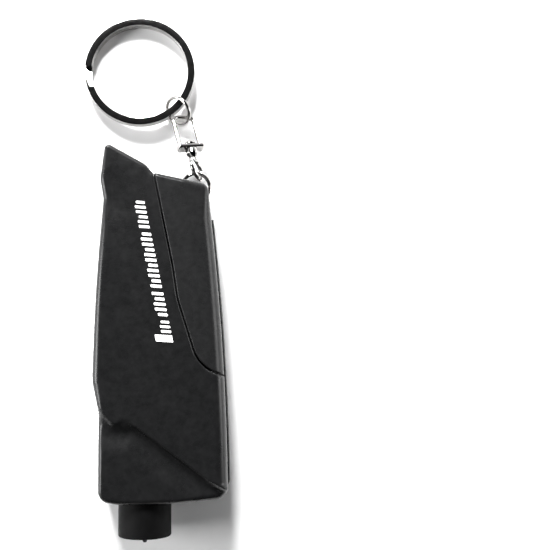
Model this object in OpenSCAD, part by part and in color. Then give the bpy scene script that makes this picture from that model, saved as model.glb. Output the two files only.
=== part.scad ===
// Pocket car escape tool on a key ring, in millimetres.
// The tool lies on its back: Z = 0 is the rear face, +Y points to the key ring, and X = 0 is the punch axis.

/* [Housing] */
// Thickness of the two shells together
body_t = 16; // [15:0.5:18]
// Depth of the lower panel below the main panel
panel_step = 0.7; // [0.3:0.1:0.9]
// How far the rail stands out of the right edge
rail_proud = 0.6; // [0.3:0.05:1]
// Width of the rail across the parting plane
rail_w = 5.2; // [4:0.2:6]

/* [Safety clip] */
// Thickness of the clip's front and rear walls
clip_wall = 2.1; // [1.6:0.1:2.2]
// Gap between the clip and the tongue that it slides over
clip_gap = 0.3; // [0.25:0.05:0.4]
// Gap between the clip's edge and the shells
seam_gap = 0.25; // [0.2:0.05:0.4]

/* [Punch] */
// Radius of the punch head
head_r = 5.7; // [5.5:0.1:5.8]
// How far the head stands out of the housing
head_out = 7.5; // [6.8:0.1:7.6]
// How far the spike stands out of the head
tip_out = 1.4; // [1:0.1:1.5]
// Radius of the striker
striker_r = 4.2; // [4:0.1:4.2]
// Wire diameter of the main spring
main_wire = 1.1; // [0.8:0.1:1.2]

/* [Chain] */
// Wire diameter of the two small rings
link_wire = 0.9; // [0.7:0.05:0.9]
// Outside diameter of the key ring
key_d = 25; // [24:0.5:26]
// Width of the key ring's band, measured radially
key_band = 1.6; // [1.3:0.1:1.7]
// Height of the key ring's two turns together
key_h = 2.5; // [2:0.1:2.6]

/* [Hidden] */

$fn = 64;
eps = 0.01;
far = 100;
mid = body_t / 2;

// Positions along Y, from the housing's foot upwards
foot_y = -38.5;
head_end = foot_y - head_out;
head_wall = 2.5;
flange_y = -36.3;
flange_t = 1.5;
flange_r = 6.1;
chamber_r = 6.2;
mouth_gap = 0.08;
collar_y = -27.2;
collar_len = 10;
collar_seat_r = 6.4;
plug_y = 3;
plug_len = 4;
plug_r = 5.2;
spring_tunnel_r = 4.7;
striker_y = -31.3;
striker_len = 12;
block_y = -28.5;
block_len = 1.9;
block_shift = 0.7;

// Belt cutter and clip
tongue_top = 22.3;
block_bottom = 22.8;
pin_at = [11.06, 28.2];
pin_r = 0.9;
screw_at = [[11, -35], [12, -16.5], [-4.6, 12.5], [-4.4, 29.4]];

// Chain, at rest on the table
small_ring_r = 3.05;
link_ring_r = 3.15;
ring_offset = 1.65;
hang_at = [11.5, 32.87, mid];
swivel_turn = 14;
swivel_slope = 19.4;
bail_roll = 20;
eye_roll = -22;
eye_r = 2.6;
eye_wire = 1.0;
eye_collar_r = 1.5;
swivel_play = 0.06;
bail_y = 5.1;
bail_t = 1.1;
bail_half = 2.4;
bail_bend = 1.3;
bar_y = 13.88;
link_at = [7.05, 48.1, 2.95];
key_at = [-1.54, 57.12, 2.1];

// Outline of the whole tool in plan, without the rail: x, y, corner radius, edge radius
outline = [[-9.6, foot_y, 2, 1.0], [-9.6, -18.9, 5, 1.2], [-10.95, -12.6, 9, 1.6], [-10.3, 8, 400, 1.5],
           [-8.8, 26.0, 3, 1.4], [-9.5, 30.4, 3, 1.2], [-8.4, 38.35, 1.0, 0.8], [0.3, 33.5, 3.5, 0.8],
           [1.6, 31.85, 0.4, 0.8],
           [13.55, 29.5, 1.8, 1.1], [17.39, -6.1, 590, 2.5], [17.8, foot_y, 2.4, 1.4]];
// Seam between the shells and the clip, from the beak down to the right edge
seam = [[1.4, 33.5, 0], [5.85, 11.5, 30], [6.85, 4.6, 14], [11.4, -10, 8], [20, -13, 0]];
// Upper edge of the lower panel, from left to right
swoosh = [[-13, -16.5, 0], [-6.4, -22.7, 3], [-2.3, -22.5, 3], [13.5, -34.4, 8], [20, -37.6, 0]];

function unit(v) = v / norm(v);
function arc_points(a, b, c, r, n) =
    let (u = unit(a - b), w = unit(c - b), half = acos(u * w) / 2,
         m = b + unit(u + w) * r / sin(half),
         p = b + u * r / tan(half) - m, q = b + w * r / tan(half) - m,
         start = atan2(p.y, p.x), turn = (atan2(q.y, q.x) - start + 540) % 360 - 180)
    [for (i = [0:n]) m + r * [cos(start + turn * i / n), sin(start + turn * i / n)]];
function xy(p) = [p.x, p.y];
function at(list, i) = list[(i + len(list)) % len(list)];
// A closed outline with rounded corners; each point carries its corner's edge radius
function rounded(pts, n) =
    [for (i = [0:len(pts) - 1])
        for (p = arc_points(xy(at(pts, i - 1)), xy(pts[i]), xy(at(pts, i + 1)), pts[i][2], n))
            [p.x, p.y, pts[i][3]]];
// An open line with rounded bends, moved sideways and up by gap
function bent(pts, gap, n) =
    let (p = [for (q = pts) [q.x + gap, q.y + gap]])
    [for (i = [0:len(p) - 1])
        each (i == 0 || i == len(p) - 1) ? [p[i]] : arc_points(p[i - 1], p[i], p[i + 1], pts[i][2], n)];
function reversed(list) = [for (i = [len(list) - 1:-1:0]) list[i]];

// Closed solid with both faces rounded over by each point's edge radius
module pillow(pts, height, steps = 5) {
    count = len(pts);
    out = [for (i = [0:count - 1])
        let (t = unit(xy(at(pts, i + 1)) - xy(at(pts, i - 1)))) [t.y, -t.x]];
    angles = [for (k = [0:steps]) 90 * k / steps];
    function ring(a, top) = [for (i = [0:count - 1])
        let (e = pts[i][2], p = xy(pts[i]) - out[i] * e * (1 - cos(a)), z = e * (1 - sin(a)))
        [p.x, p.y, top ? height - z : z]];
    rings = [for (a = reversed(angles)) ring(a, false), for (a = angles) ring(a, true)];
    last = len(rings) - 1;
    polyhedron([for (r = rings) each r],
        [[for (i = [0:count - 1]) i], [for (i = [count - 1:-1:0]) last * count + i],
         for (k = [0:last - 1]) for (i = [0:count - 1])
             let (a = k * count + i, b = k * count + (i + 1) % count)
             each [[a, a + count, b], [b, a + count, b + count]]], convexity = 6);
}

// Tube along a helix about Y, from y0 to y1, made as one polyhedron
module coil(r, wire, y0, y1, turns, per_turn = 18, sides = 6) {
    count = turns * per_turn;
    function spot(i) = [r * cos(360 * i / per_turn), y0 + wire / 2 + (y1 - y0 - wire) * i / count,
                        r * sin(360 * i / per_turn)];
    function loop(i) = let (c = spot(i), o = unit([c.x, 0, c.z]))
        [for (s = [0:sides - 1]) c + wire / 2 * (o * cos(360 * s / sides) + [0, sin(360 * s / sides), 0])];
    polyhedron([for (i = [0:count]) each loop(i)],
        [[for (s = [sides - 1:-1:0]) s], [for (s = [0:sides - 1]) count * sides + s],
         for (i = [0:count - 1]) for (s = [0:sides - 1])
             let (a = i * sides + s, b = i * sides + (s + 1) % sides)
             each [[a, b, a + sides], [b, b + sides, a + sides]]]);
}

// Cylinder along +Y from y0 to y1 on the punch axis
module rod(r, y0, y1) { translate([0, y0, mid]) rotate([-90, 0, 0]) cylinder(r = r, h = y1 - y0); }
module cone(r0, r1, y0, y1) { translate([0, y0, mid]) rotate([-90, 0, 0]) cylinder(r1 = r0, r2 = r1, h = y1 - y0); }
module slab(pts, z0, z1) { translate([0, 0, z0]) linear_extrude(z1 - z0) polygon(pts); }
module block(x0, x1, y0, y1, z0, z1) { translate([x0, y0, z0]) cube([x1 - x0, y1 - y0, z1 - z0]); }
// Round wire ring in the XY plane
module wire_ring(r, wire) { rotate_extrude() translate([r, 0]) circle(d = wire, $fn = 24); }

// Everything right of the seam, with the seam moved by gap
module clip_zone(gap) {
    slab(concat(bent(seam, gap, 6), [[far, -13 + gap], [far, 33.5 + gap]]), -eps, body_t + eps);
}
module body_form() { pillow(reversed(rounded(outline, 6)), body_t); }
// Right edge of the tool from y0 to y1, moved sideways by dx
function right_x(y) = 17.8 - 0.0128 * (y - foot_y) - pow(y + 34.4, 2) / 1180;
function right_edge(dx, y0, y1, n = 6) =
    [for (i = [0:n]) let (y = y0 + (y1 - y0) * i / n) [right_x(y) + dx, y]];
// Rail along the right edge, with a chamfered foot
module rail(z0, z1) {
    slab(concat(right_edge(rail_proud, tongue_top, -34.4),
                [[17.2, -36.8], [14.5, -36.8], [14, -12], [12, tongue_top]]), z0, z1);
}
// Tongue that the clip slides over
module tongue(z0, z1) {
    slab(concat([for (p = bent(seam, -1, 6)) if (p.y < tongue_top && p.x < 13) p],
                right_edge(-2 - clip_gap, -13, tongue_top), [[3, tongue_top]]), z0, z1);
}
// Belt slot beside the beak, open at the top
module belt_slot() {
    slab([[1.5, 33], [5.45, 14.2], [5.9, 12.9], [7.2, 12.4], [8.4, 13.1], [8.6, 14.4], [6.9, 22.4], [6.9, 33]],
         -eps, body_t + eps);
}
module blade_place() { translate([2.5, 21, mid]) rotate([0, 0, -36]) children(); }
// Space for the punch, its collar, spring and plug
module mechanism_space() {
    rod(head_r + mouth_gap, foot_y - 1, flange_y);
    rod(chamber_r, flange_y - 0.1, collar_y + eps);
    rod(collar_seat_r, collar_y, collar_y + collar_len);
    rod(spring_tunnel_r, collar_y + collar_len - eps, plug_y + eps);
    rod(plug_r, plug_y, plug_y + plug_len);
}
// Hollows that keep the walls thin, with the screw bosses left standing
module pockets(z0, z1) {
    difference() {
        union() {
            slab([[8, -36.4], [15.2, -36.4], [15.2, -14.4], [8, -14.4]], z0, z1);
            slab([[-7.6, 9.4], [3, 9.4], [1.6, 19], [-0.4, 30], [-5.4, 33.2], [-7.4, 33.4]], z0, z1);
        }
        for (p = screw_at) translate([p.x, p.y, z0 - 1]) cylinder(r = 2.4, h = z1 - z0 + 2);
    }
}
module lower_panel(z0, z1) { slab(concat(bent(swoosh, 0, 5), [[20, -60], [-13, -60]]), z0, z1); }

// One half of the body without the clip's share and the lower panel, as a single mesh
module shell_half(z0, z1) {
    resize([0, 0, 0]) difference() {
        intersection() { body_form(); block(-far, far, -far, far, z0, z1); }
        clip_zone(0);
        children();
    }
}

module front_shell() {
    color("#26282b") difference() {
        union() {
            shell_half(mid, body_t + 1) lower_panel(body_t - panel_step, body_t + 1);
            tongue(mid, body_t - clip_wall - clip_gap - 0.2);
            rail(mid, mid + rail_w / 2);
        }
        mechanism_space();
        pockets(mid - 1, body_t - 2);
        belt_slot();
        blade_place() block(-0.1, 8.5, -1.65, 0.95, -0.22, 0.22);
        for (p = screw_at) translate([p.x, p.y, mid - 1]) cylinder(r = 0.96, h = 5);
    }
}

module rear_shell() {
    color("#26282b") difference() {
        union() {
            shell_half(-1, mid) lower_panel(-1, panel_step);
            tongue(clip_wall + clip_gap + 0.2, mid);
            rail(mid - rail_w / 2, mid);
        }
        mechanism_space();
        pockets(2, mid + 1);
        belt_slot();
        blade_place() block(-0.1, 8.5, -1.65, 0.95, -0.22, 0.22);
        for (p = screw_at) translate([p.x, p.y, 0]) {
            translate([0, 0, -1]) cylinder(r = 1.1, h = mid + 2);
            translate([0, 0, -1]) cylinder(r = 2.1, h = 3.6);
        }
    }
}

module screw() {
    difference() {
        union() {
            translate([0, 0, 1.2]) cylinder(r = 1.9, h = 1.4);
            translate([0, 0, 2.6]) cylinder(r = 0.95, h = 8.4);
            translate([0, 0, 11]) cylinder(r1 = 0.95, r2 = 0.5, h = 0.8);
        }
        for (a = [0, 90]) rotate([0, 0, a]) block(-1.1, 1.1, -0.22, 0.22, 1, 1.9);
    }
}
module housing_screws() { color("#8d9196") for (p = screw_at) translate([p.x, p.y, 0]) screw(); }

module belt_blade() {
    color("#c8ccd0") blade_place() rotate([90, 0, 90])
        linear_extrude(8.4) polygon([[-1.6, -0.2], [0.2, -0.2], [0.9, 0], [0.2, 0.2], [-1.6, 0.2]]);
}

module safety_clip() {
    inner = clip_wall + 0.2;
    color("#2b2d30") difference() {
        intersection() {
            body_form();
            clip_zone(seam_gap);
            block(-far, far, -far, far, 0.2, body_t - 0.2);
        }
        // room for the tongue
        slab(concat([[-2, block_bottom], [-2, -14]], right_edge(-2, -14, block_bottom)), inner, body_t - inner);
        // room for the rail
        block(9, far, -14, block_bottom, mid - rail_w / 2 - clip_gap, mid + rail_w / 2 + clip_gap);
        // slot that the small ring swings in
        for (a = [-75:15:15])
            translate([pin_at.x + ring_offset * sin(-a), pin_at.y + ring_offset * cos(a), mid - 0.75])
                cylinder(r = small_ring_r + link_wire / 2 + 0.25, h = 1.5);
        translate([pin_at.x, pin_at.y, 0]) cylinder(r = pin_r, h = 13.5);
    }
}
module ring_pin() { color("#b9bdc2") translate([pin_at.x, pin_at.y, 0.5]) cylinder(r = pin_r, h = 13); }

module punch_head() {
    color("#1d1f21") difference() {
        union() {
            rod(head_r, head_end + 0.6, flange_y + eps);
            cone(head_r - 0.5, head_r, head_end, head_end + 0.6 + eps);
            rod(flange_r, flange_y, flange_y + flange_t);
        }
        rod(4.6, head_end + head_wall, 0);
        rod(0.72, head_end - 1, head_end + head_wall + 1);
    }
}

module spike() {
    inside = head_end + head_wall;
    color("#9ba0a6") union() {
        cone(0.35, 0.65, head_end - tip_out, head_end - tip_out + 0.6);
        rod(0.65, head_end - tip_out + 0.6 - eps, inside + 0.1 + eps);
        rod(2.2, inside + 0.1, inside + 1.3);
        rod(1, inside + 1.3 - eps, block_y - 1.8);
    }
}
module spike_spring() {
    color("#a5a9ae") translate([0, 0, mid])
        coil(1.75, 0.45, head_end + head_wall + 1.35, striker_y - 0.05, 8, 14, 5);
}

module striker() {
    slot_z = 1.55;
    color("#84888d") difference() {
        union() {
            rod(striker_r - 0.4, striker_y, striker_y + 0.5 + eps);
            rod(striker_r, striker_y + 0.5, striker_y + striker_len);
        }
        rod(1.15, striker_y - 1, block_y + eps);
        rod(1.15, block_y + block_len, block_y + block_len + 4.2);
        block(-3.4, far, block_y - 0.05, block_y + block_len + 0.05, mid - slot_z, mid + slot_z);
    }
}
// Sliding block whose off-centre hole lets the spike's tail through once the collar pushes it in
module trip_block() {
    color("#6f7378") difference() {
        intersection() {
            block(-1.6, 5, block_y, block_y + block_len, mid - 1.5, mid + 1.5);
            rod(striker_r + block_shift, block_y - 1, block_y + block_len + 1);
        }
        translate([block_shift, 0, 0]) rod(1.1, block_y - 1, block_y + block_len + 1);
    }
}
module trip_spring() {
    color("#a5a9ae") translate([0, block_y + block_len / 2, mid]) rotate([0, 0, -90])
        coil(0.65, 0.25, -3.35, -1.65, 4, 10, 5);
}
// Steel ring whose tapered mouth pushes the trip block in as the striker comes back
module trip_collar() {
    bore = striker_r + 0.08;
    color("#7c8085") difference() {
        rod(collar_seat_r - 0.02, collar_y, collar_y + collar_len);
        rod(bore, collar_y - 1, collar_y + collar_len + 1);
        cone(striker_r + block_shift + 0.16, bore, collar_y - eps, collar_y + 7.4);
    }
}
module main_spring() {
    color("#a5a9ae") translate([0, 0, mid])
        coil(3.4, main_wire, striker_y + striker_len + 0.05, plug_y - 0.05, 8, 18, 6);
}
module spring_plug() {
    color("#3a3d40") union() {
        rod(plug_r - 0.02, plug_y, plug_y + plug_len);
        rod(2.4, plug_y - 4, plug_y + eps);
    }
}

module clip_ring() {
    color("#c3c6ca") translate([pin_at.x, pin_at.y + ring_offset, mid]) wire_ring(small_ring_r, link_wire);
}
// Swivel frame: +Y runs along the swivel from the small ring, and the eye's centre is the origin
module swivel_place() {
    translate(hang_at) rotate([0, 0, swivel_turn]) rotate([-swivel_slope, 0, 0]) translate([0, 1.25, 0]) children();
}
module stem(r, y0, y1) { translate([0, y0, 0]) rotate([-90, 0, 0]) cylinder(r = r, h = y1 - y0, $fn = 32); }
module swivel_eye() {
    color("#c3c6ca") swivel_place() union() {
        rotate([0, eye_roll, 0]) rotate([0, 90, 0]) wire_ring(eye_r, eye_wire);
        stem(0.8, eye_r + 0.3, bail_y + bail_t + 0.5);
        translate([0, eye_r + 0.25, 0]) rotate([-90, 0, 0]) cylinder(r1 = 0.75, r2 = eye_collar_r, h = 0.95);
        stem(eye_collar_r, eye_r + 1.2 - eps, bail_y - swivel_play);
        stem(1.35, bail_y + bail_t + swivel_play, bail_y + bail_t + 1.1);
    }
}
// Loop of round wire on a bored base plate
module swivel_bail() {
    half = bail_half;
    bend = bail_bend;
    color("#c3c6ca") swivel_place() rotate([0, bail_roll, 0]) difference() {
        union() {
            block(-half - 0.75, half + 0.75, bail_y, bail_y + bail_t, -1.2, 1.2);
            for (side = [-1, 1]) {
                translate([side * half, 0, 0]) stem(0.5, bail_y + bail_t / 2, bar_y - bend);
                translate([side * (half - bend), bar_y - bend, 0]) rotate([0, 0, side > 0 ? 0 : 90])
                    rotate_extrude(angle = 90) translate([bend, 0]) circle(r = 0.5, $fn = 32);
            }
            translate([bend - half, bar_y, 0]) rotate([0, 90, 0]) cylinder(r = 0.5, h = 2 * (half - bend), $fn = 32);
        }
        stem(0.88, bail_y - 1, bail_y + bail_t + 1);
    }
}
module link_ring() {
    color("#c3c6ca") translate(link_at) rotate([0, 0, 35]) rotate([0, -48, 0]) wire_ring(link_ring_r, link_wire);
}
// Two turns of flat wire; a shallow groove parts the turns and each turn's end leaves a gap
module key_ring() {
    outer = key_d / 2;
    inner = outer - key_band;
    module layer_gap(angle, z0) {
        rotate([0, 0, angle]) block(inner - 1, outer + 1, -0.9, 0.9, z0, z0 + key_h / 2);
    }
    color("#b4b8bc") translate(key_at) rotate([0, 0, -45]) rotate([0, -3.64, 0]) rotate([0, 0, 45])
        difference() {
            rotate_extrude($fn = 96) translate([inner, -key_h / 2]) square([key_band, key_h]);
            rotate_extrude($fn = 96) translate([outer - 0.15, -0.05]) square([1, 0.1]);
            rotate_extrude($fn = 96) translate([inner - 0.85, -0.05]) square([1, 0.1]);
            layer_gap(180, 0.05);
            layer_gap(205, -key_h / 2 - 0.05);
        }
}

front_shell();
rear_shell();
housing_screws();
belt_blade();
safety_clip();
ring_pin();
punch_head();
spike();
spike_spring();
striker();
trip_block();
trip_spring();
trip_collar();
main_spring();
spring_plug();
clip_ring();
swivel_eye();
swivel_bail();
link_ring();
key_ring();
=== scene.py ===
"""Looks of a pocket car escape tool on a key ring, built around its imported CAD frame.

The tool lies on its back: +Y points to the key ring and X = 0 is the punch axis.
Lengths in this script are millimetres; SCALE turns them into metres when a mesh is made.
"""

import math

import bmesh
import bpy
import numpy as np
from mathutils import Matrix, Vector
from mathutils.geometry import delaunay_2d_cdt


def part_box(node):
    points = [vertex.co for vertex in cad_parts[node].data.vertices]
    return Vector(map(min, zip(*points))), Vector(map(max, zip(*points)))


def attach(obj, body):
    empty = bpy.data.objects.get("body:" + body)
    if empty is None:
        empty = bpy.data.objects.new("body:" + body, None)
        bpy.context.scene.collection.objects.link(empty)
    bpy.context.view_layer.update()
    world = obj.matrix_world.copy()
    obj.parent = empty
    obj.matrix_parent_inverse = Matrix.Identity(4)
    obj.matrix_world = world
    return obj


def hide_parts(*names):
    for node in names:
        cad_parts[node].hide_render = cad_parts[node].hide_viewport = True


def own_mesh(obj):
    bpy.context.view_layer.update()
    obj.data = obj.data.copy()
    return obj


SCALE = 0.001
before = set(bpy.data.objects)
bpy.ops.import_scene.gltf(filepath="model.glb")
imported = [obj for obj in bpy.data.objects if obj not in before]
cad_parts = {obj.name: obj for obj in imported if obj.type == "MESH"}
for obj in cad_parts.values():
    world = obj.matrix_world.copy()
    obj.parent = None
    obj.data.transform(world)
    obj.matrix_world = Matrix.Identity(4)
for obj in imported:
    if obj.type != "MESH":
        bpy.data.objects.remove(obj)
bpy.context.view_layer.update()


def cad_mm(node):
    """Lowest and highest corner of a CAD node, in millimetres."""
    low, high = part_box(node)
    return np.array(low) / SCALE, np.array(high) / SCALE


# ---------------------------------------------------------------- sizes, from the frame
BODY_T = cad_mm("front_shell")[1][2]
MID = BODY_T / 2
FOOT_Y = cad_mm("front_shell")[0][1]
HEAD_LOW, HEAD_HIGH = cad_mm("punch_head")
SPIKE_LOW, SPIKE_HIGH = cad_mm("spike")
CLIP_TOP = cad_mm("safety_clip")[1][2]
TONGUE_TOP = 22.3  # top end of the rail, and of the tongue that the clip slides over
PANEL_STEP = 0.7
PANEL_HOLLOW = 0.6
RAIL_PROUD = 0.6
RAIL_W = 5.2
RAIL_FOOT = -36.75
RAIL_BEND = -34.4  # where the rail leaves the foot's corner
RAIL_EDGE = 0.45
SKIN = 0.05  # the looks stay this far inside the CAD's walls
FACE_SKIN = 0.04  # and this far inside its faces
SLIM = 0.02  # turned and swept pieces are this much smaller than the CAD's
SEAM_GAP = 0.25
SEAM_ROUND = 0.32
PARTING = 0.13  # depth of the groove where the two shells meet
RIB_SHIFT, RIB_DEEP, RIB_HALF, RIB_TOP = 0.03, 0.7, 6.4, 31.7  # the clip's light-tight rib

# Outline in plan: x, y, corner radius, edge radius. The foot is bowed, a little inside the CAD's
OUTLINE = [
    (-9.6, FOOT_Y + 0.8, 2.6, 1.0), (-5.6, FOOT_Y + 0.02, 9, 1.0), (5.5, FOOT_Y, 40, 1.1),
    (17.75, FOOT_Y + 0.8, 2.6, 1.5), (17.39, -6.1, 590, 2.5), (13.55, 29.5, 1.8, 1.1),
    (1.6, 31.85, 0.4, 0.8), (0.3, 33.5, 3.5, 0.8), (-8.4, 38.35, 1.0, 0.8), (-9.5, 30.4, 3, 1.2),
    (-8.8, 26.0, 3, 1.4), (-10.3, 8, 400, 1.5), (-10.95, -12.6, 9, 1.6), (-9.6, -18.9, 5, 1.2),
]
# The seam beside the clip and the foot panel's edge in plan: x, y, bend radius
SEAM = [(1.4, 33.5, 0), (5.85, 11.5, 30), (6.85, 4.6, 14), (11.4, -10, 8), (20, -13, 0)]
SWOOSH = [(-13, -16.5, 0), (-6.4, -22.7, 3), (-2.3, -22.5, 3), (13.5, -34.4, 8), (20, -37.6, 0)]


# ---------------------------------------------------------------- plane geometry
def unit(v):
    return v / np.linalg.norm(v)


def arc_points(a, b, c, r, n):
    """Points of the arc of radius r that rounds the corner b between a and c."""
    u, w = unit(a - b), unit(c - b)
    half = math.acos(max(-1.0, min(1.0, float(u @ w)))) / 2
    m = b + unit(u + w) * r / math.sin(half)
    p, q = b + u * r / math.tan(half) - m, b + w * r / math.tan(half) - m
    start = math.atan2(p[1], p[0])
    turn = (math.atan2(q[1], q[0]) - start + 3 * math.pi) % (2 * math.pi) - math.pi
    angles = [start + turn * i / n for i in range(n + 1)]
    return [m + r * np.array([math.cos(t), math.sin(t)]) for t in angles]


def rounded_loop(points, n=24):
    """Closed outline with rounded corners, as rows of x, y and each corner's other values."""
    rows = []
    count = len(points)
    for i, point in enumerate(points):
        a, b, c = (np.array(points[(i + k) % count][:2], float) for k in (-1, 0, 1))
        rows += [[*p, *point[3:]] for p in arc_points(a, b, c, point[2], n)]
    return np.array(rows)


def bent_line(points, shift=0.0, n=24):
    """Open line with rounded bends, moved sideways and up by shift."""
    moved = [np.array(p[:2], float) + shift for p in points]
    rows = [moved[0]]
    for i in range(1, len(moved) - 1):
        rows += arc_points(moved[i - 1], moved[i], moved[i + 1], points[i][2], n)
    return np.array(rows + [moved[-1]])


def resample(rows, spacing, closed):
    """The same line with evenly spaced points."""
    if closed:
        rows = np.vstack([rows, rows[:1]])
    along = np.concatenate([[0], np.cumsum(np.linalg.norm(np.diff(rows[:, :2], axis=0), axis=1))])
    keep = np.concatenate([[True], np.diff(along) > 1e-9])
    rows, along = rows[keep], along[keep]
    count = max(4, int(round(along[-1] / spacing)))
    spots = np.linspace(0, along[-1], count + 1)
    made = np.stack([np.interp(spots, along, rows[:, k]) for k in range(rows.shape[1])], axis=1)
    return made[:-1] if closed else made


def outward(loop):
    """Outward normals of a closed counterclockwise loop."""
    d = np.roll(loop[:, :2], -1, axis=0) - np.roll(loop[:, :2], 1, axis=0)
    d /= np.linalg.norm(d, axis=1)[:, None]
    return np.stack([d[:, 1], -d[:, 0]], axis=1)


def offset_line(line, shift):
    """An open line moved to its left by shift."""
    d = np.gradient(line, axis=0)
    d /= np.linalg.norm(d, axis=1)[:, None]
    return line + shift * np.stack([-d[:, 1], d[:, 0]], axis=1)


def nearest(points, line, closed):
    """Distance, side (positive on the left) and place along the line of each point's nearest spot."""
    a = line[:, :2]
    b = np.roll(a, -1, axis=0)
    if not closed:
        a, b = a[:-1], b[:-1]
    e = b - a
    best = np.full(len(points), 1e9)
    side = np.zeros(len(points))
    where = np.zeros(len(points))
    for start in range(0, len(points), 2000):
        p = points[start:start + 2000]
        rel = p[:, None, :] - a[None]
        t = np.clip((rel * e[None]).sum(2) / (e * e).sum(1)[None], 0, 1)
        gap = rel - t[..., None] * e[None]
        dist = np.linalg.norm(gap, axis=2)
        k = dist.argmin(axis=1)
        rows = np.arange(len(p))
        best[start:start + 2000] = dist[rows, k]
        cross = e[k, 0] * rel[rows, k, 1] - e[k, 1] * rel[rows, k, 0]
        side[start:start + 2000] = np.sign(cross)
        where[start:start + 2000] = k + t[rows, k]
    return best, side, where


def smooth(x, low, high):
    """Soft step from 0 at low to 1 at high."""
    t = np.clip((x - low) / (high - low), 0, 1)
    return t * t * (3 - 2 * t)


def quarter(d, r):
    """Drop of a quarter-round edge of radius r at distance d from the wall."""
    d = np.clip(d, 0, r)
    return r - np.sqrt(np.maximum(r * r - (r - d) ** 2, 0))


def right_x(y):
    """X of the body's slightly bowed right edge."""
    return 17.8 - 0.0128 * (y - FOOT_Y) - (y - RAIL_BEND) ** 2 / 1180


# ---------------------------------------------------------------- mesh helpers
def new_object(name, verts, faces):
    """A mesh object from points in millimetres."""
    me = bpy.data.meshes.new(name)
    me.from_pydata((np.asarray(verts, float) * SCALE).tolist(), [], [tuple(int(i) for i in f) for f in faces])
    me.update()
    obj = bpy.data.objects.new(name, me)
    bpy.context.scene.collection.objects.link(obj)
    bm = bmesh.new()
    bm.from_mesh(me)
    bmesh.ops.recalc_face_normals(bm, faces=bm.faces)
    bm.to_mesh(me)
    bm.free()
    return obj


def boolean(obj, other, operation):
    """obj becomes its union, difference or intersection with other, which is removed."""
    mod = obj.modifiers.new("cut", "BOOLEAN")
    mod.operation = operation
    mod.solver = "MANIFOLD"
    mod.object = other
    dg = bpy.context.evaluated_depsgraph_get()
    made = bpy.data.meshes.new_from_object(obj.evaluated_get(dg))
    obj.modifiers.clear()
    obj.data = made
    bpy.data.objects.remove(other)
    if not made.polygons:
        raise RuntimeError(f"{obj.name}: nothing is left after {operation}")
    return obj


def cad_copy(node, name):
    """A new object with a closed copy of a CAD node's mesh."""
    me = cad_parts[node].data.copy()
    me.materials.clear()
    bm = bmesh.new()
    bm.from_mesh(me)
    bmesh.ops.remove_doubles(bm, verts=bm.verts, dist=1e-7)
    bmesh.ops.recalc_face_normals(bm, faces=bm.faces)
    bm.to_mesh(me)
    bm.free()
    obj = bpy.data.objects.new(name, me)
    bpy.context.scene.collection.objects.link(obj)
    return obj


def grid_faces(rows, cols, close_rows=False, close_cols=True):
    """Quads between points laid out as rows of cols points."""
    faces = []
    for i in range(rows if close_rows else rows - 1):
        for j in range(cols if close_cols else cols - 1):
            a, b = i * cols + j, i * cols + (j + 1) % cols
            k = (i + 1) % rows
            faces.append((a, b, k * cols + (j + 1) % cols, k * cols + j))
    return faces


def end_caps(rows, cols):
    """The first and the last face of a solid whose sides are grid_faces."""
    return [tuple(range(cols - 1, -1, -1)), tuple(range((rows - 1) * cols, rows * cols))]


def sweep(name, centres, normals, binormals, section, closed=False):
    """A solid swept along centres; section is a list of (along normal, along binormal)."""
    section = np.asarray(section, float)
    verts = (centres[:, None, :] + section[None, :, 0, None] * normals[:, None, :]
             + section[None, :, 1, None] * binormals[:, None, :]).reshape(-1, 3)
    rows, cols = len(centres), len(section)
    faces = grid_faces(rows, cols, close_rows=closed)
    if not closed:
        faces += end_caps(rows, cols)
    return new_object(name, verts, faces)


def circle_section(r, n):
    """Round section of radius r for a sweep."""
    a = np.linspace(0, 2 * math.pi, n, endpoint=False)
    return np.stack([r * np.cos(a), r * np.sin(a)], axis=1)


def soft_profile(points, n=6):
    """An open profile of (u, v, corner radius) with its corners rounded."""
    rows = [np.array(points[0][:2], float)]
    for i in range(1, len(points) - 1):
        a, b, c = (np.array(points[i + k][:2], float) for k in (-1, 0, 1))
        if points[i][2] > 0:
            rows += arc_points(a, b, c, points[i][2], n)
        else:
            rows.append(b)
    return np.array(rows + [np.array(points[-1][:2], float)])


def lathe(name, profile, place, segments=96, ring=False):
    """A solid of revolution about the local Y axis from (radius, y) points. ring closes the profile."""
    profile = np.asarray(profile, float)
    a = np.linspace(0, 2 * math.pi, segments, endpoint=False)
    verts, starts = [], []
    for r, y in profile:
        starts.append(len(verts))
        if r < 1e-6:
            verts.append((0, y, 0))
        else:
            verts += [(r * math.cos(t), y, r * math.sin(t)) for t in a]
    faces = []
    count = len(profile)
    for i in range(count if ring else count - 1):
        s, t = starts[i], starts[(i + 1) % count]
        first_pole, next_pole = profile[i][0] < 1e-6, profile[(i + 1) % count][0] < 1e-6
        for j in range(segments):
            k = (j + 1) % segments
            if first_pole:
                faces.append((s, t + j, t + k))
            elif next_pole:
                faces.append((s + j, t, s + k))
            else:
                faces.append((s + j, t + j, t + k, s + k))
    verts = np.array([place @ Vector(v) for v in verts])
    return new_object(name, verts, faces)


def finish_piece(obj, body, nodes, material, angle=32):
    """Shading and material, parents the piece to its body's empty and hides the CAD nodes it takes over; angle
    is where edges turn sharp.
    """
    me = obj.data
    me.materials.clear()
    me.materials.append(material)
    me.shade_smooth()
    me.set_sharp_from_angle(angle=math.radians(angle))
    mod = obj.modifiers.new("even shading", "WEIGHTED_NORMAL")
    mod.keep_sharp = True
    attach(obj, body)
    if nodes:
        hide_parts(*nodes)


# ---------------------------------------------------------------- materials
def base_material(name):
    """A new material with its shader and its object coordinates."""
    mat = bpy.data.materials.new(name)
    mat.use_nodes = True
    nodes = mat.node_tree.nodes
    shader = nodes["Principled BSDF"]
    coords = nodes.new("ShaderNodeTexCoord")
    return mat, shader, coords


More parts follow.
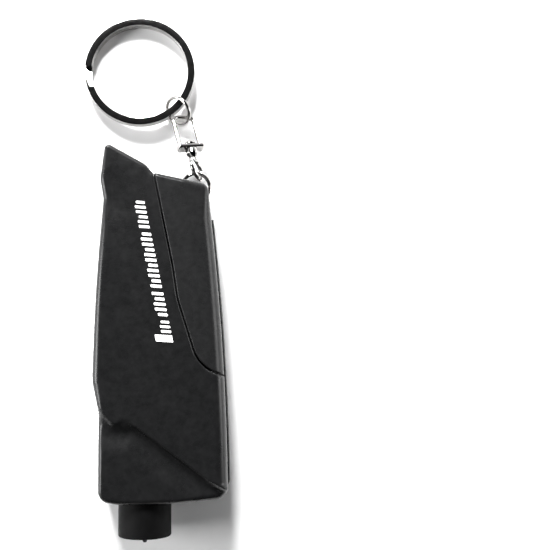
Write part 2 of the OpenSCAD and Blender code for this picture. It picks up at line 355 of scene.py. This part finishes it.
def noise(mat, coords, scale, detail):
    """Noise in an object's own coordinates; scale is in cells per metre."""
    node = mat.node_tree.nodes.new("ShaderNodeTexNoise")
    node.inputs["Scale"].default_value = scale
    node.inputs["Detail"].default_value = detail
    node.inputs["Roughness"].default_value = 0.55
    mat.node_tree.links.new(coords.outputs["Object"], node.inputs["Vector"])
    return node.outputs["Fac"]


def ramp(mat, value, stops):
    """A colour ramp; stops are (position, colour or grey)."""
    node = mat.node_tree.nodes.new("ShaderNodeValToRGB")
    elements = node.color_ramp.elements
    while len(elements) < len(stops):
        elements.new(0.5)
    for element, (position, colour) in zip(elements, stops):
        element.position = position
        rgb = (colour,) * 3 if isinstance(colour, float) else colour
        element.color = (*rgb, 1)
    mat.node_tree.links.new(value, node.inputs["Fac"])
    return node.outputs["Color"]


def add_bump(mat, shader, layers):
    """Bump from (height, distance in mm, strength) layers, each one on top of the one before."""
    below = None
    for height, distance, strength in layers:
        node = mat.node_tree.nodes.new("ShaderNodeBump")
        node.inputs["Distance"].default_value = distance * SCALE
        node.inputs["Strength"].default_value = strength
        mat.node_tree.links.new(height, node.inputs["Height"])
        if below:
            mat.node_tree.links.new(below, node.inputs["Normal"])
        below = node.outputs["Normal"]
    mat.node_tree.links.new(below, shader.inputs["Normal"])


def plastic(name, dark, light, rough, grain=1.0, specular=0.4):
    """Fine spark-eroded moulded plastic, with slightly uneven colour and pale specks."""
    mat, shader, coords = base_material(name)
    links = mat.node_tree.links
    colour = ramp(mat, noise(mat, coords, 900, 4), [(0.35, dark), (0.65, light)])
    speck_colour = [min(1.0, 2.2 * c) for c in light]
    specks = ramp(mat, noise(mat, coords, 5200, 1), [(0.74, 0.0), (0.80, 1.0)])
    mix = mat.node_tree.nodes.new("ShaderNodeMix")
    mix.data_type = "RGBA"
    links.new(specks, mix.inputs["Factor"])
    links.new(colour, mix.inputs["A"])
    mix.inputs["B"].default_value = (*speck_colour, 1)
    links.new(mix.outputs["Result"], shader.inputs["Base Color"])
    links.new(ramp(mat, noise(mat, coords, 420, 5), [(0.3, rough - 0.05), (0.7, rough + 0.06)]),
              shader.inputs["Roughness"])
    shader.inputs["Specular IOR Level"].default_value = specular
    add_bump(mat, shader, [(noise(mat, coords, 3400, 2), 0.03, 0.45 * grain),
                           (noise(mat, coords, 9000, 1), 0.015, 0.35 * grain)])
    return mat


def metal(name, colour, rough, scratch=(1.0, 1.0, 1.0), depth=0.25):
    """Plated or ground steel: uneven polish, fine lines along one axis and shallow dents."""
    mat, shader, coords = base_material(name)
    links = mat.node_tree.links
    shader.inputs["Metallic"].default_value = 1.0
    tint = [tuple(c * k for c in colour) for k in (0.86, 1.04)]
    colour = ramp(mat, noise(mat, coords, 500, 4), [(0.35, tint[0]), (0.65, tint[1])])
    polish = ramp(mat, noise(mat, coords, 1500, 5), [(0.3, rough * 0.7), (0.72, rough * 1.5)])
    links.new(colour, shader.inputs["Base Color"])
    links.new(polish, shader.inputs["Roughness"])
    stretch = mat.node_tree.nodes.new("ShaderNodeMapping")
    stretch.inputs["Scale"].default_value = scratch
    links.new(coords.outputs["Object"], stretch.inputs["Vector"])
    fine = mat.node_tree.nodes.new("ShaderNodeTexNoise")
    fine.inputs["Scale"].default_value = 4000
    fine.inputs["Detail"].default_value = 4
    links.new(stretch.outputs["Vector"], fine.inputs["Vector"])
    dents = noise(mat, coords, 700, 2)
    add_bump(mat, shader, [(fine.outputs["Fac"], 0.01, depth), (dents, 0.05, depth * 0.5)])
    return mat


SHELL = plastic("shell charcoal plastic", (0.0050, 0.0051, 0.0053), (0.0070, 0.0071, 0.0074), 0.29, 1.2, 0.34)
CLIP = plastic("clip charcoal plastic", (0.0084, 0.0085, 0.0087), (0.0110, 0.0111, 0.0114), 0.29, 1.2, 0.22)
HEAD = plastic("head black plastic", (0.0020, 0.0020, 0.0021), (0.0027, 0.0027, 0.0028), 0.58, 0.6, 0.06)
PLUG = plastic("plug grey plastic", (0.035, 0.037, 0.040), (0.050, 0.052, 0.055), 0.5)
PRINT = plastic("white pad print", (0.80, 0.80, 0.79), (0.90, 0.90, 0.89), 0.45, 0.5)
NICKEL = metal("bright nickel plate", (0.45, 0.44, 0.43), 0.06, depth=0.05)
KEY_STEEL = metal("plated flat spring wire", (0.50, 0.49, 0.48), 0.08, depth=0.05)
SPRING = metal("spring wire", (0.50, 0.50, 0.51), 0.28)
SCREW = metal("zinc plated screw", (0.60, 0.60, 0.59), 0.3)
BLADE = metal("ground blade steel", (0.72, 0.72, 0.73), 0.2, (1.0, 12.0, 12.0))
PIN = metal("drawn pin steel", (0.62, 0.62, 0.63), 0.24, (8.0, 8.0, 1.0))
SPIKE = metal("blackened spike steel", (0.05, 0.05, 0.055), 0.42, (8.0, 1.0, 8.0))
STRIKER = metal("turned striker steel", (0.46, 0.46, 0.47), 0.32, (1.0, 14.0, 1.0))


# ---------------------------------------------------------------- the two shells and the clip
def seam_drop(points, shift, on_right):
    """Rounding along one side of the seam between shell and clip."""
    dist, side, _ = nearest(points, bent_line(SEAM, shift), False)
    right = side > 0
    return np.where(right == on_right, quarter(dist, SEAM_ROUND), 0)


def panel_drop(points):
    """Depth below the main panel at the foot: a step with a soft hollow under it."""
    dist, side, _ = nearest(points, bent_line(SWOOSH), False)
    w = np.where(side < 0, dist, -dist)
    x = points[:, 0]
    # The step ends at w = end, and starts further up near the left edge and at the bend
    start = -0.85 - 0.6 * smooth(-x, 5.5, 9.0) - 1.5 * np.exp(-((x + 4.3) / 1.5) ** 2)
    end = -0.02
    step = PANEL_STEP * smooth((w - start) / (end - start), 0.0, 1.0)
    hollow = PANEL_HOLLOW * smooth(w, -0.7, 1.1) * (1 - smooth(w, 1.1, 5.5))
    return step + hollow


def grip_drop(points):
    """Soft thumb hollow beside the beak."""
    wide, tall, deep = 2.3, 5.2, 0.42
    u = (points[:, 0] + 7.0 - 0.16 * (27 - points[:, 1])) / wide
    v = (points[:, 1] - 25.5) / tall
    return deep * np.exp(-u * u - v * v)


def crown_drop(points):
    """The clip's face falls away towards its right edge."""
    start, run, slope, soft = 5.4, 1.2, 0.115, 0.12
    inward = right_x(points[:, 1]) - points[:, 0]
    t = np.clip((start - inward) / run, 0, None)
    return slope * run * (np.sqrt(t * t + soft) - math.sqrt(soft))


LOOP = resample(rounded_loop(OUTLINE), 0.34, True)
LOOP[:, :2] -= SKIN * outward(LOOP)
RINGS = 8  # steps of the rounded edge
# Lines of points beside the foot panel's edge, by their distance to its left
SWOOSH_LINES = (2.2, 1.7, 1.35, 1.15, 1.0, 0.85, 0.65, 0.45, 0.25, 0.05, -0.2, -0.45, -0.7, -1.0, -1.4)


def plan_points():
    """Points of the body in plan: rings that follow the rounded edge, feature lines and an even fill."""
    out = outward(LOOP)
    edge = LOOP[:, 2]
    insets = [edge * (1 - math.cos(math.pi / 2 * k / RINGS)) for k in range(RINGS + 1)]
    fixed = np.vstack([LOOP[:, :2] - out * inset[:, None] for inset in insets])
    lines = []
    for shift, sign in ((0.0, -1), (SEAM_GAP, 1)):
        line = resample(bent_line(SEAM, shift), 0.3, False)
        for k in range(5):
            d = 0.004 + SEAM_ROUND * (1 - math.cos(math.pi / 2 * k / 4))
            lines.append(offset_line(line, sign * d))
    line = resample(bent_line(SWOOSH), 0.35, False)
    for d in SWOOSH_LINES:
        lines.append(offset_line(line, d))
    feature = np.vstack(lines)
    low, high = LOOP[:, :2].min(0), LOOP[:, :2].max(0)
    pitch, row_pitch = 0.55, 0.55 * 0.866
    xs, ys = np.arange(low[0], high[0], pitch), np.arange(low[1], high[1], row_pitch)
    fill = np.array([(x + (pitch / 2 if j % 2 else 0), y) for j, y in enumerate(ys) for x in xs])

    def inside(points, margin, edges):
        """Whether each point is inside the outline by margin and by the edge radius times edges."""
        dist, side, where = nearest(points, LOOP, True)
        return (side > 0) & (dist > margin + edges * edge[np.floor(where).astype(int) % len(LOOP)])

    feature = feature[inside(feature, 0.03, 0)]
    fill = fill[inside(fill, 0.25, 1)]
    fill = fill[nearest_gap(fill, feature) > 0.2]
    return np.vstack([fixed, feature, fill])


def nearest_gap(points, others):
    """Distance from each point to the nearest of the others."""
    best = np.full(len(points), 1e9)
    for start in range(0, len(points), 1500):
        p = points[start:start + 1500]
        best[start:start + 1500] = np.linalg.norm(p[:, None] - others[None], axis=2).min(axis=1)
    return best


def build_plan():
    """The plan's points, its triangles and the indices of its border points, in order."""
    points = plan_points()
    count = len(LOOP)
    edges = [(i, (i + 1) % count) for i in range(count)]
    made = delaunay_2d_cdt([Vector(p) for p in points], edges, [], 1, 1e-5)
    verts = np.array([tuple(v) for v in made[0]])
    faces = [tuple(f) for f in made[2]]
    place = {}
    for new, olds in enumerate(made[3]):
        for old in olds:
            place[old] = new
    border = [place[i] for i in range(count)]
    return verts, faces, border


PLAN, PLAN_FACES, BORDER = build_plan()
BORDER_DIST, _, BORDER_WHERE = nearest(PLAN, LOOP, True)
EDGE_R = np.interp(BORDER_WHERE, np.arange(len(LOOP) + 1), np.append(LOOP[:, 2], LOOP[0, 2]))
EDGE_DROP = quarter(BORDER_DIST, EDGE_R)


def body_envelope(name, drop, top, parting):
    """Closed solid of the whole body: drop is each plan point's depth below the face."""
    n, m = len(PLAN), len(BORDER)
    height = top - drop
    verts = [np.column_stack([PLAN, height]), np.column_stack([PLAN, BODY_T - height])]
    faces = list(PLAN_FACES) + [tuple(n + i for i in reversed(f)) for f in PLAN_FACES]
    wall = [(MID + PARTING, 0), (MID, PARTING), (MID - PARTING, 0)] if parting else [(MID, 0)]
    loop = PLAN[BORDER]
    out = outward(loop)
    rows = [list(BORDER)]
    for k, (z, inset) in enumerate(wall):
        verts.append(np.column_stack([loop - out * inset, np.full(m, z)]))
        rows.append([2 * n + k * m + i for i in range(m)])
    rows.append([n + i for i in BORDER])
    for a, b in zip(rows, rows[1:]):
        for i in range(m):
            j = (i + 1) % m
            faces.append((a[i], b[i], b[j], a[j]))
    return new_object(name, np.vstack(verts), faces)


def rail_envelope():
    """The rail along the right edge, with rounded edges."""
    top, half = TONGUE_TOP - SLIM, RAIL_W / 2 - 0.03
    right = [(right_x(y) + RAIL_PROUD - 0.03, y) for y in np.linspace(RAIL_BEND, top, 60)]
    loop = np.array([(14.5, RAIL_FOOT), (17.16, RAIL_FOOT)] + right + [(12, top), (14, -12)])
    loop = resample(loop, 0.5, True)
    out = outward(loop)
    # Inset and height of each ring: the lower rounded edge, the parting groove and the upper rounded edge
    edge = [(RAIL_EDGE * (1 - math.cos(a)), half - RAIL_EDGE * (1 - math.sin(a)))
            for a in np.radians(np.linspace(90, 0, 7))]
    section = [(inset, MID - up) for inset, up in edge]
    section += [(0, MID - PARTING), (PARTING, MID), (0, MID + PARTING)]
    section += [(inset, MID + up) for inset, up in reversed(edge)]
    rows = [np.column_stack([loop - out * inset, np.full(len(loop), z)]) for inset, z in section]
    faces = grid_faces(len(rows), len(loop)) + end_caps(len(rows), len(loop))
    return new_object("rail", np.vstack(rows), faces)


back_drop = EDGE_DROP + seam_drop(PLAN, 0.0, False) + panel_drop(PLAN)
front_drop = back_drop + grip_drop(PLAN)
clip_drop = EDGE_DROP + seam_drop(PLAN, SEAM_GAP, True) + crown_drop(PLAN)


def seam_rib():
    """A low rib on the clip's edge that leaves no daylight in the seam."""
    line = resample(bent_line(SEAM, RIB_SHIFT), 0.4, False)
    line = line[(line[:, 1] > TONGUE_TOP + 0.9) & (line[:, 1] < RIB_TOP)]
    loop = np.vstack([line, line[::-1] + (RIB_DEEP, 0)])
    verts = [(x, y, z) for z in (MID - RIB_HALF, MID + RIB_HALF) for x, y in loop]
    faces = end_caps(2, len(loop)) + grid_faces(2, len(loop))
    return new_object("rib", verts, faces)


def shell(node, name, drop):
    """The CAD shell inside the smooth body and rail."""
    envelope = body_envelope("envelope", drop, BODY_T - FACE_SKIN, True)
    boolean(envelope, rail_envelope(), "UNION")
    made = boolean(cad_copy(node, name), envelope, "INTERSECT")
    finish_piece(made, "housing", [node], SHELL)


shell("front_shell", "front_shell_look", front_drop)
shell("rear_shell", "rear_shell_look", back_drop)
clip = boolean(cad_copy("safety_clip", "safety_clip_look"),
               body_envelope("envelope", clip_drop, CLIP_TOP - FACE_SKIN, False), "INTERSECT")
boolean(clip, seam_rib(), "UNION")
finish_piece(clip, "clip", ["safety_clip"], CLIP)


# ---------------------------------------------------------------- generic print: a row of slanted bars
def print_bars():
    """One row of bars along the clip's seam, from the foot end to the beak."""
    low, high = np.array([6.15, -4.6]), np.array([-0.1, 25.9])
    along = unit(high - low)
    up = np.array([-along[1], along[0]])
    slant, corner, gap = 0.28, 0.16, 0.5
    # How many bars, their width and their height; a bar of no width is a wider gap
    groups = [(1, 1.5, 4.3), (3, 0.52, 2.1), (1, 0, 0), (5, 0.62, 2.4), (1, 0, 0), (11, 0.62, 2.3), (1, 0, 0),
              (6, 0.56, 2.2)]
    bars = []
    for k, (n, width, tall) in enumerate(groups):
        for i in range(n):
            bars.append((width, tall * (1.0 if (i + k) % 3 else 0.82)))
    stretch = float(np.linalg.norm(high - low)) / (sum(w for w, t in bars) + gap * len(bars))
    verts, faces = [], []
    spot = 0.0
    top = BODY_T - 0.005
    for width, tall in bars:
        if width:
            wide, lean = width * stretch, slant * tall
            corners = [(0, 0), (wide, 0), (wide + lean, tall), (lean, tall)]
            loop = rounded_loop([(u, v, corner) for u, v in corners], 4)
            flat = np.array([low + along * (spot + u) + up * v for u, v in loop[:, :2]])
            start = len(verts)
            m = len(flat)
            verts += [(x, y, BODY_T - FACE_SKIN - 0.03) for x, y in flat] + [(x, y, top) for x, y in flat]
            faces += [tuple(range(start + m - 1, start - 1, -1)), tuple(range(start + m, start + 2 * m))]
            for i in range(m):
                j = (i + 1) % m
                faces.append((start + i, start + j, start + m + j, start + m + i))
        spot += width * stretch + gap * stretch
    finish_piece(new_object("print_bars", verts, faces), "housing", [], PRINT)


print_bars()


# ---------------------------------------------------------------- punch
AXIS = Matrix.Translation((0, 0, MID))
head_end, head_top = HEAD_LOW[1] + SLIM, HEAD_HIGH[1] - SLIM
flange_r = (HEAD_HIGH[0] - HEAD_LOW[0]) / 2 - SLIM
head_r = flange_r - 0.4
bore_r, cup_r, cup_floor = 0.74, 4.62, head_end + 2.5
profile = soft_profile([
    (bore_r, cup_floor - SLIM, 0), (bore_r, head_end, 0.12), (head_r, head_end, 0.4),
    (head_r, head_top - 1.48, 0.1), (flange_r, head_top - 1.46, 0.15), (flange_r, head_top, 0.15),
    (cup_r, head_top, 0.15), (cup_r, cup_floor, 0.4), (1.2, cup_floor, 0)], 8)
head = lathe("punch_head_look", profile, AXIS, 128, ring=True)
finish_piece(head, "head", ["punch_head"], HEAD)

tip, tail = SPIKE_LOW[1] + SLIM, SPIKE_HIGH[1] - SLIM
collar = cup_floor + 0.08
point_r, collar_r, stem_r = 0.63, 2.18, 0.98
profile = soft_profile([
    (0, tip, 0), (0.34, tip, 0.08), (point_r, tip + 0.58, 0.2), (point_r, collar, 0.1), (collar_r, collar, 0.15),
    (collar_r, collar + 1.18, 0.15), (stem_r, collar + 1.2, 0.15), (stem_r, tail, 0.2), (0, tail, 0)], 5)
finish_piece(lathe("spike_look", profile, AXIS, 48), "spike", ["spike"], SPIKE)


# ---------------------------------------------------------------- springs
def spring(name, node, wire, turns, axis):
    """Compression spring with a closed turn at each end, along axis 0 (X) or 1 (Y)."""
    low, high = cad_mm(node)
    other = 1 - axis
    r = (high[2] - low[2] - wire) / 2 - SLIM
    centre = (low + high) / 2
    length = high[axis] - low[axis] - wire - 2 * SLIM
    steps = int(turns * 36)
    t = np.linspace(0, 1, steps + 1)
    rise = np.interp(t * turns, [0, 0.9, turns - 0.9, turns], [0, wire * 0.9, length - wire * 0.9, length])
    a = 2 * math.pi * turns * t
    path = np.zeros((steps + 1, 3))
    normal = np.zeros_like(path)
    path[:, other] = centre[other] + r * np.cos(a)
    path[:, 2] = centre[2] + r * np.sin(a)
    path[:, axis] = low[axis] + wire / 2 + SLIM + rise
    normal[:, other], normal[:, 2] = np.cos(a), np.sin(a)
    along = np.zeros_like(path)
    along[:, axis] = 1
    return sweep(name, path, normal, along, circle_section(wire / 2, 14))


def squashed(obj, body, node):
    """Finishes a spring and gives it a mesh of its own."""
    finish_piece(obj, body, [node], SPRING)
    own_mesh(obj)


low, high = cad_mm("main_spring")
squashed(spring("main_spring_look", "main_spring", 1.08, 9, 1), "housing", "main_spring")
low, high = cad_mm("spike_spring")
squashed(spring("spike_spring_look", "spike_spring", 0.44, 9, 1), "striker", "spike_spring")
low, high = cad_mm("trip_spring")
squashed(spring("trip_spring_look", "trip_spring", 0.24, 4, 0), "striker", "trip_spring")


# ---------------------------------------------------------------- screws
def screws():
    """Four cross-head screws, seen in the rear face."""
    low, high = cad_mm("housing_screws")
    spots = [(11, -35), (12, -16.5), (-4.6, 12.5), (-4.4, 29.4)]
    base, length = low[2], high[2] - low[2]
    head_r, crest_r, root_r, pitch = 1.88, 0.93, 0.74, 0.56
    thread = []
    z = 3.2
    while z < 10.6:
        thread += [(crest_r, z - base, 0.03), (root_r, z - base + pitch / 2, 0.03)]
        z += pitch
    profile = soft_profile([
        (0, SLIM, 0), (1.55, 0.1, 0.6), (head_r, 0.55, 0.35), (head_r, 1.38, 0.08), (crest_r, 1.4, 0.1), *thread,
        (0.9, 9.8, 0.1), (0.5, length - 0.03, 0.1), (0, length - SLIM, 0)], 3)
    recess = [(-1.12, -0.24, -1), (1.12, -0.24, -1), (1.12, 0.24, -1), (-1.12, 0.24, -1),
              (-0.5, -0.16, 0.75), (0.5, -0.16, 0.75), (0.5, 0.16, 0.75), (-0.5, 0.16, 0.75)]
    recess_faces = [(3, 2, 1, 0), (4, 5, 6, 7), (0, 1, 5, 4), (1, 2, 6, 5), (2, 3, 7, 6), (3, 0, 4, 7)]
    made = None
    for x, y in spots:
        place = Matrix.Translation((x, y, base))
        one = lathe("screw", profile, place @ Matrix.Rotation(math.pi / 2, 4, "X"), 48)
        for turn in (0, math.pi / 2):
            spin = place @ Matrix.Rotation(turn + 0.4 * x, 4, "Z")
            cutter = new_object("recess", np.array([spin @ Vector(v) for v in recess]), recess_faces)
            boolean(one, cutter, "DIFFERENCE")
        if made is None:
            made = one
        else:
            boolean(made, one, "UNION")
    made.name = "housing_screws_look"
    finish_piece(made, "housing", ["housing_screws"], SCREW)


screws()


# ---------------------------------------------------------------- small rings and swivel
def coil(name, place, r, degrees, rise, section):
    """Wire wound at radius r about the local Z axis through the given angles and heights."""
    a = np.radians(degrees)
    out = np.stack([np.cos(a), np.sin(a), 0 * a], axis=1)
    path = out * r
    path[:, 2] += rise
    spin = np.array(place.to_3x3())
    path = path @ spin.T + np.array(place.translation)
    up = np.tile(spin @ np.array([0, 0, 1.0]), (len(a), 1))
    return sweep(name, path, out @ spin.T, up, section)


def split_ring(name, place, r, wire, start):
    """Round wire ring with a hairline split; start is the split's angle in degrees."""
    steps = 160
    cut = math.degrees(0.05 / r)
    rise = np.linspace(-0.03, 0.03, steps)
    return coil(name, place, r, start + np.linspace(cut, 360 - cut, steps), rise,
                circle_section(wire / 2 - 0.015, 24))


LINK_R = 3.15
low, high = cad_mm("clip_ring")
place = Matrix.Translation(((low[0] + high[0]) / 2, (low[1] + high[1]) / 2, MID))
small_wire = high[2] - low[2]
ring = split_ring("clip_ring_look", place, (high[0] - low[0] - small_wire) / 2, small_wire, 250)
finish_piece(ring, "clip_ring", ["clip_ring"], NICKEL, 50)

low, high = cad_mm("link_ring")
place = (Matrix.Translation(Vector((low + high) / 2)) @ Matrix.Rotation(math.radians(35), 4, "Z")
         @ Matrix.Rotation(math.radians(-48), 4, "Y"))
ring = split_ring("link_ring_look", place, LINK_R, small_wire, 100)
finish_piece(ring, "link_ring", ["link_ring"], NICKEL, 50)

# The swivel's own frame: its eye is centred on the origin and it points along Y
SWIVEL = (Matrix.Translation((11.5, 32.87, MID)) @ Matrix.Rotation(math.radians(14), 4, "Z")
          @ Matrix.Rotation(math.radians(-19.4), 4, "X") @ Matrix.Translation((0, 1.25, 0)))
EYE_R = 2.6
EYE_WIRE = 0.485
EYE_ROLL = Matrix.Rotation(math.radians(-22), 4, "Y")
BAIL_ROLL = Matrix.Rotation(math.radians(20), 4, "Y")
BAIL_Y = 5.1  # near face of the bail's plate
BAIL_T = 1.1  # thickness of that plate
BAIL_WIRE = 0.49
BAR_Y = 13.88  # the bail's far bar


def placed(obj, place):
    """Moves a mesh made about the origin in millimetres."""
    shift = place.copy()
    shift.translation = place.translation * SCALE
    obj.data.transform(shift)
    return obj


def swivel_eye():
    """The eye on the small ring, with the stem that the bail turns on."""
    a = np.linspace(0, 2 * math.pi, 96, endpoint=False)
    out = np.stack([0 * a, np.cos(a), np.sin(a)], axis=1)
    side = np.tile([1.0, 0, 0], (96, 1))
    eye = sweep("swivel_eye_look", out * EYE_R, out, side, circle_section(EYE_WIRE, 24), closed=True)
    foot, far, stem_r = EYE_R - 0.3, BAIL_Y + BAIL_T, 0.78
    profile = soft_profile([
        (0, foot, 0), (0.6, foot, 0.1), (0.72, EYE_R + 0.25, 0.2), (1.47, EYE_R + 1.2, 0.3),
        (1.48, BAIL_Y - 0.1, 0.25), (stem_r, BAIL_Y - 0.08, 0.05), (stem_r, far + 0.09, 0.05),
        (1.33, far + 0.1, 0.15), (1.2, far + 0.75, 0.4), (0.5, far + 1.06, 0.3), (0, far + 1.08, 0)], 5)
    placed(eye, EYE_ROLL)
    boolean(eye, lathe("stem", profile, Matrix.Identity(4), 48), "UNION")
    placed(eye, SWIVEL)
    finish_piece(eye, "swivel_eye", ["swivel_eye"], NICKEL, 40)


def swivel_bail():
    """The wire bail and its plate, bored for the eye's stem."""
    half, bend, start = 2.4, 1.3, BAIL_Y + 0.4
    path = soft_profile([(-half, start, 0), (-half, BAR_Y, bend), (half, BAR_Y, bend), (half, start, 0)], 14)
    path = resample(path, 0.22, False)
    d = np.gradient(path, axis=0)
    d /= np.linalg.norm(d, axis=1)[:, None]
    centres = np.column_stack([path, np.zeros(len(path))])
    normal = np.column_stack([-d[:, 1], d[:, 0], np.zeros(len(path))])
    up = np.tile([0, 0, 1.0], (len(path), 1))
    loop = sweep("swivel_bail_look", centres, normal, up, circle_section(BAIL_WIRE, 24))
    plate_x, plate_z, corner, bore_r = 3.13, 1.17, 0.55, 0.9
    corners = [(-plate_x, -plate_z), (plate_x, -plate_z), (plate_x, plate_z), (-plate_x, plate_z)]
    plate = rounded_loop([(x, z, corner) for x, z in corners], 6)
    out = outward(plate)
    edge = [(0.02, 0.3), (0.08, 0.1), (0.25, 0.0)]
    edge += [(BAIL_T - y, inset) for y, inset in reversed(edge)]
    rows = []
    for y, inset in edge:
        flat = plate - out * inset
        rows.append(np.column_stack([flat[:, 0], np.full(len(flat), BAIL_Y + y), flat[:, 1]]))
    faces = grid_faces(len(rows), len(plate)) + end_caps(len(rows), len(plate))
    boolean(loop, new_object("plate", np.vstack(rows), faces), "UNION")
    low, high = BAIL_Y - 1, BAIL_Y + BAIL_T + 1
    bore = lathe("bore", [(0, low), (bore_r, low), (bore_r, high), (0, high)], Matrix.Identity(4), 48)
    boolean(loop, bore, "DIFFERENCE")
    placed(loop, SWIVEL @ BAIL_ROLL)
    finish_piece(loop, "swivel_bail", ["swivel_bail"], NICKEL, 40)


swivel_eye()
swivel_bail()


# ---------------------------------------------------------------- key ring: two turns of flat wire
def key_ring():
    """Two turns of flat wire that cross over once, tilted so that the far side rests on the floor."""
    outer, band, turn_h, corner = 12.5, 1.6, 1.25, 0.06
    centre = Vector((-1.54, 57.12, 2.1))
    place = (Matrix.Translation(centre) @ Matrix.Rotation(math.radians(-45), 4, "Z")
             @ Matrix.Rotation(math.radians(-3.64), 4, "Y") @ Matrix.Rotation(math.radians(45), 4, "Z"))
    # Angles in degrees of the wire's two ends and of the crossing
    first, last, cross_from, cross_to = 203.0, 894.0, 535.0, 559.0
    degrees = np.linspace(first, last, 560)
    rise = np.clip((degrees - cross_from) / (cross_to - cross_from), 0, 1)
    level = -turn_h / 2 + turn_h * (0.65 * rise + 0.35 * smooth(rise, 0, 1))
    w, h = band / 2 - SLIM, turn_h / 2 - 0.03
    section = rounded_loop([(u, v, corner) for u, v in ((-w, -h), (w, -h), (w, h), (-w, h))], 4)
    obj = coil("key_ring_look", place, outer - band / 2 - SLIM, degrees, level, section)
    finish_piece(obj, "key_ring", ["key_ring"], KEY_STEEL, 50)


key_ring()

# ---------------------------------------------------------------- CAD nodes that keep their own shape
for node, material in (("belt_blade", BLADE), ("ring_pin", PIN), ("striker", STRIKER), ("trip_block", STRIKER),
                       ("trip_collar", STRIKER), ("spring_plug", PLUG)):
    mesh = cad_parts[node].data
    mesh.materials.clear()
    mesh.materials.append(material)


# ---------------------------------------------------------------- floor, light and camera
def stage():
    """Pale floor, a dark room that is bright low down on the key ring's side, and three soft lamps."""
    half = 2500
    verts = [(-half, -half, 0), (half, -half, 0), (half, half, 0), (-half, half, 0)]
    floor = new_object("floor", verts, [(0, 1, 2, 3)])
    mat, shader, coords = base_material("pale paper")
    tone = ramp(mat, noise(mat, coords, 30, 2), [(0.3, 0.90), (0.7, 0.92)])
    mat.node_tree.links.new(tone, shader.inputs["Base Color"])
    shader.inputs["Roughness"].default_value = 0.9
    shader.inputs["Specular IOR Level"].default_value = 0.1
    floor.data.materials.append(mat)

    world = bpy.data.worlds.new("studio")
    bpy.context.scene.world = world
    world.use_nodes = True
    nodes, links = world.node_tree.nodes, world.node_tree.links
    coords = nodes.new("ShaderNodeTexCoord")
    split = nodes.new("ShaderNodeSeparateXYZ")
    links.new(coords.outputs["Generated"], split.inputs["Vector"])
    tone = nodes.new("ShaderNodeValToRGB")
    tone.color_ramp.elements[0].position = 0.0
    tone.color_ramp.elements[0].color = (1.0, 1.0, 1.0, 1)
    tone.color_ramp.elements[1].position = 1.0
    tone.color_ramp.elements[1].color = (0.015, 0.015, 0.016, 1)
    for position, grey in ((0.26, 1.0), (0.48, 0.04)):
        element = tone.color_ramp.elements.new(position)
        element.color = (grey, grey, grey * 1.01, 1)
    links.new(split.outputs["Z"], tone.inputs["Fac"])
    bright_side = (-0.42, 0.90, 0.0)
    facing = nodes.new("ShaderNodeVectorMath")
    facing.operation = "DOT_PRODUCT"
    facing.inputs[1].default_value = bright_side
    links.new(coords.outputs["Generated"], facing.inputs[0])
    share = nodes.new("ShaderNodeMapRange")
    for socket, value in (("From Min", -0.40), ("From Max", 0.15), ("To Min", 0.12), ("To Max", 1.0)):
        share.inputs[socket].default_value = value
    links.new(facing.outputs["Value"], share.inputs["Value"])
    light_here = nodes.new("ShaderNodeVectorMath")
    light_here.operation = "SCALE"
    links.new(tone.outputs["Color"], light_here.inputs[0])
    links.new(share.outputs["Result"], light_here.inputs["Scale"])
    links.new(light_here.outputs["Vector"], nodes["Background"].inputs["Color"])
    nodes["Background"].inputs["Strength"].default_value = 1.25

    target = Vector((5, 5, 0))

    def area(name, place, size, power):
        """Round soft lamp that points at the tool."""
        data = bpy.data.lights.new(name, "AREA")
        data.shape = "DISK"
        data.size = size * SCALE
        data.energy = power
        light = bpy.data.objects.new(name, data)
        bpy.context.scene.collection.objects.link(light)
        light.location = Vector(place) * SCALE
        aim = (target - Vector(place)).normalized()
        light.rotation_euler = aim.to_track_quat("-Z", "Y").to_euler()

    area("key", (-110, 560, 440), 220, 17.0)
    area("side", (-560, -20, 300), 320, 4.0)
    area("edge", (620, 80, 230), 320, 1.8)


def camera():
    """Nearly overhead, tipped the way the tool was seen."""
    spot, aim = Vector((7.966, -6.2, 228)), Vector((29.294, 10.877, 0))
    back = (spot - aim).normalized()
    up = Vector((0, back.z, -back.y)).normalized()
    right = up.cross(back).normalized()
    up = back.cross(right)
    data = bpy.data.cameras.new("camera")
    data.sensor_width = 36
    data.lens = 65.26
    data.clip_start = 0.01
    data.clip_end = 20
    obj = bpy.data.objects.new("camera", data)
    bpy.context.scene.collection.objects.link(obj)
    turn = Matrix((right, up, back)).transposed().to_4x4()
    turn.translation = spot * SCALE
    obj.matrix_world = turn
    bpy.context.scene.camera = obj


stage()
camera()
bpy.context.scene.view_settings.view_transform = "Standard"
bpy.context.view_layer.update()
